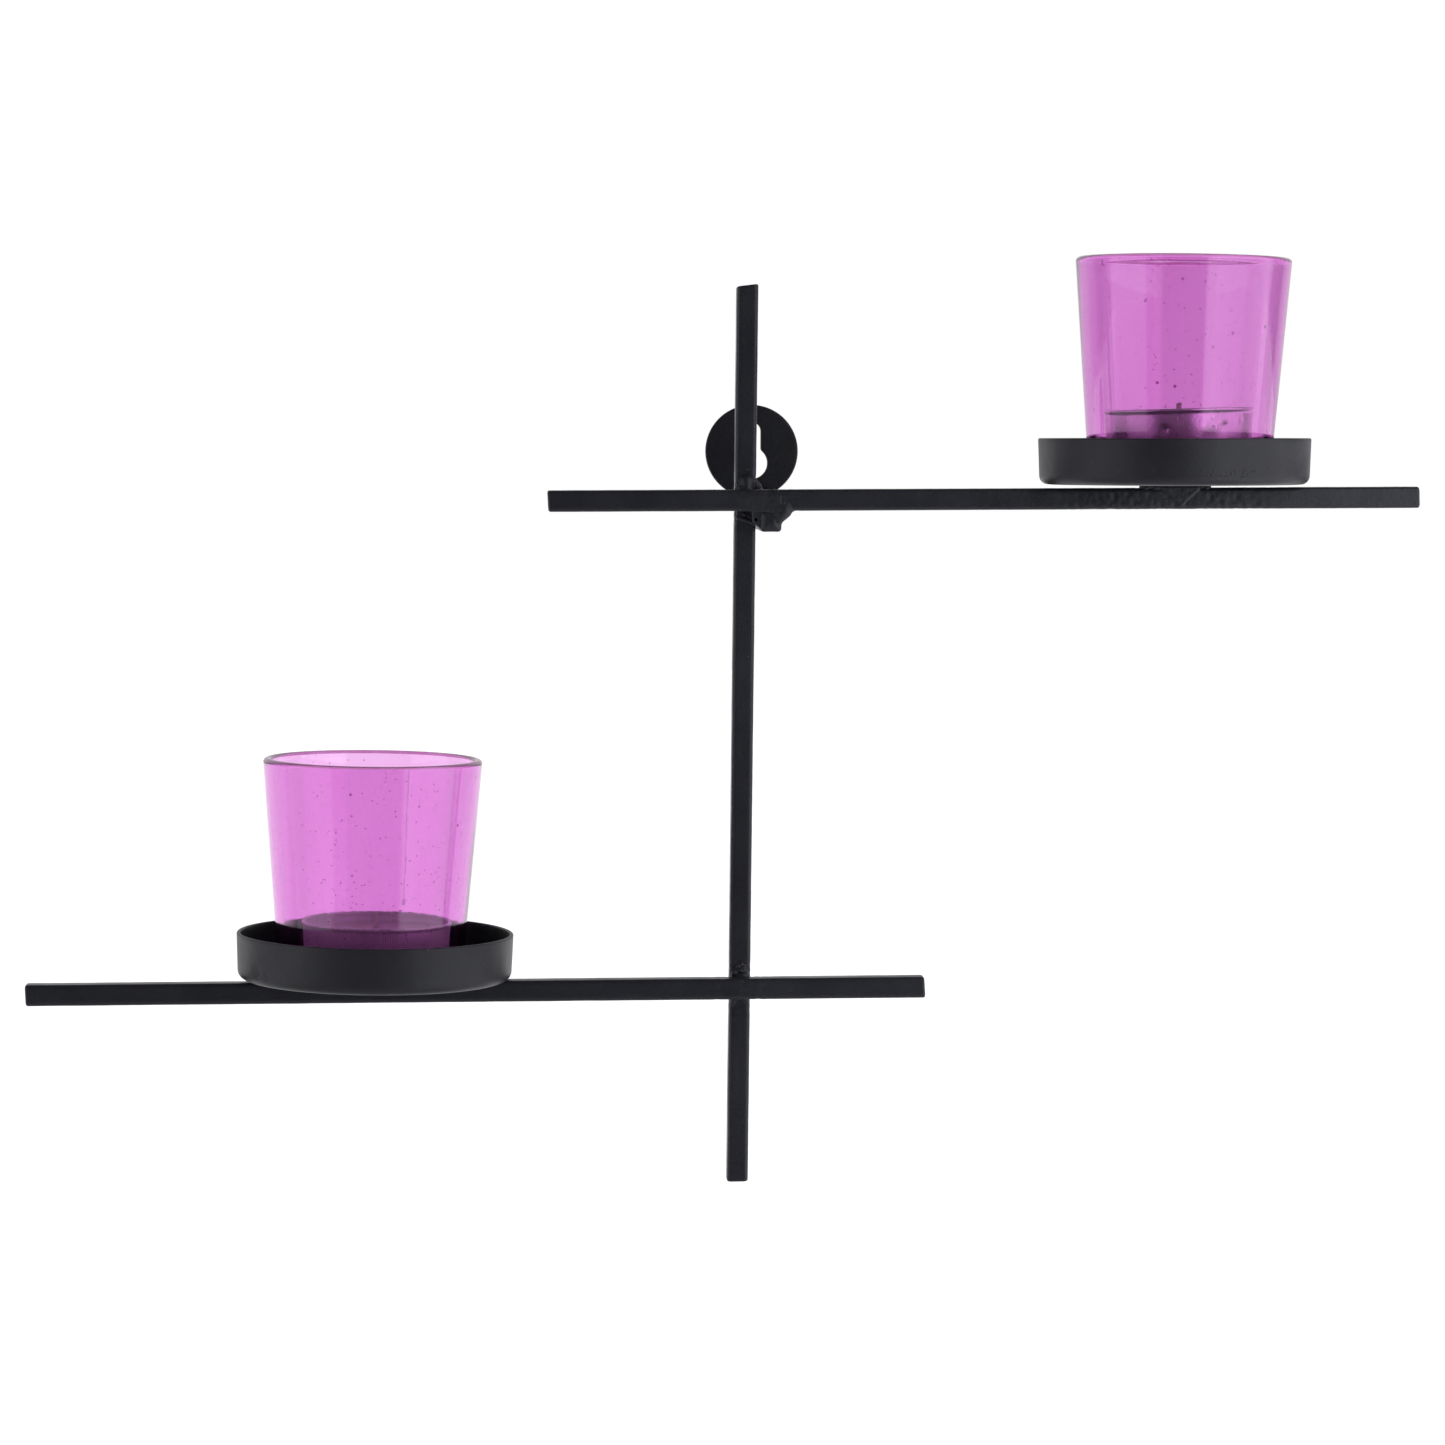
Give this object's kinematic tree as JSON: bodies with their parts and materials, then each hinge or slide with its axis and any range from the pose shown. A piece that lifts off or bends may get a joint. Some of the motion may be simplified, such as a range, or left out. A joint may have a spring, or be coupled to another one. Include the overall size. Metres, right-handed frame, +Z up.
{
  "type": "wall candle sconce",
  "caption": "Wall-hung votive candle sconce: a square-bar post with staggered arms, each with a round dish that holds a loose glass cup and tealight.",
  "frame": {"origin": "centre of the keyhole's round hole, on the back face of the hanger plate, in the plane of the wall", "axes": "+X to the right as hung, +Z up, -Y out of the wall towards the room"},
  "size_m": [0.3544, 0.0722, 0.2366],
  "materials": {
    "black_enamel": "semi-gloss black enamel on welded square bar",
    "plate_enamel": "satin black enamel on stamped plate",
    "dish_enamel": "satin charcoal enamel on pressed sheet",
    "weld_enamel": "black enamel over rippled weld",
    "purple_glass": "transparent magenta-purple lacquered glass with a clear rim",
    "tealight_aluminium": "bright drawn aluminium foil",
    "candle_wax": "white paraffin wax",
    "sustainer_tinplate": "stamped tinplate",
    "wick_cotton": "waxed braided cotton"
  },
  "bodies": {
    "frame": {"post": "black_enamel", "upper_arm": "black_enamel", "lower_arm": "black_enamel", "standoff_bar": "black_enamel", "hanger_plate": "plate_enamel", "upper_dish": "dish_enamel", "lower_dish": "dish_enamel", "upper_crossing_weld": "weld_enamel", "lower_crossing_weld": "weld_enamel", "standoff_weld": "weld_enamel", "hanger_plate_weld": "weld_enamel", "upper_dish_weld": "weld_enamel", "lower_dish_weld": "weld_enamel"},
    "upper_cup": {"upper_glass_cup": "purple_glass"},
    "upper_tealight": {"upper_tealight_cup": "tealight_aluminium", "upper_tealight_wax": "candle_wax", "upper_wick_sustainer": "sustainer_tinplate", "upper_tealight_wick": "wick_cotton"},
    "lower_cup": {"lower_glass_cup": "purple_glass"},
    "lower_tealight": {"lower_tealight_cup": "tealight_aluminium", "lower_tealight_wax": "candle_wax", "lower_wick_sustainer": "sustainer_tinplate", "lower_tealight_wick": "wick_cotton"}
  },
  "joints": [
    {"name": "upper_cup_lift", "type": "slide", "parent": "frame", "child": "upper_cup", "axis": [0, 0, 1], "range_m": [0, 0.08]},
    {"name": "upper_tealight_lift", "type": "slide", "parent": "upper_cup", "child": "upper_tealight", "axis": [0, 0, 1], "range_m": [0, 0.065]},
    {"name": "lower_cup_lift", "type": "slide", "parent": "frame", "child": "lower_cup", "axis": [0, 0, 1], "range_m": [0, 0.08]},
    {"name": "lower_tealight_lift", "type": "slide", "parent": "lower_cup", "child": "lower_tealight", "axis": [0, 0, 1], "range_m": [0, 0.065]}
  ]
}
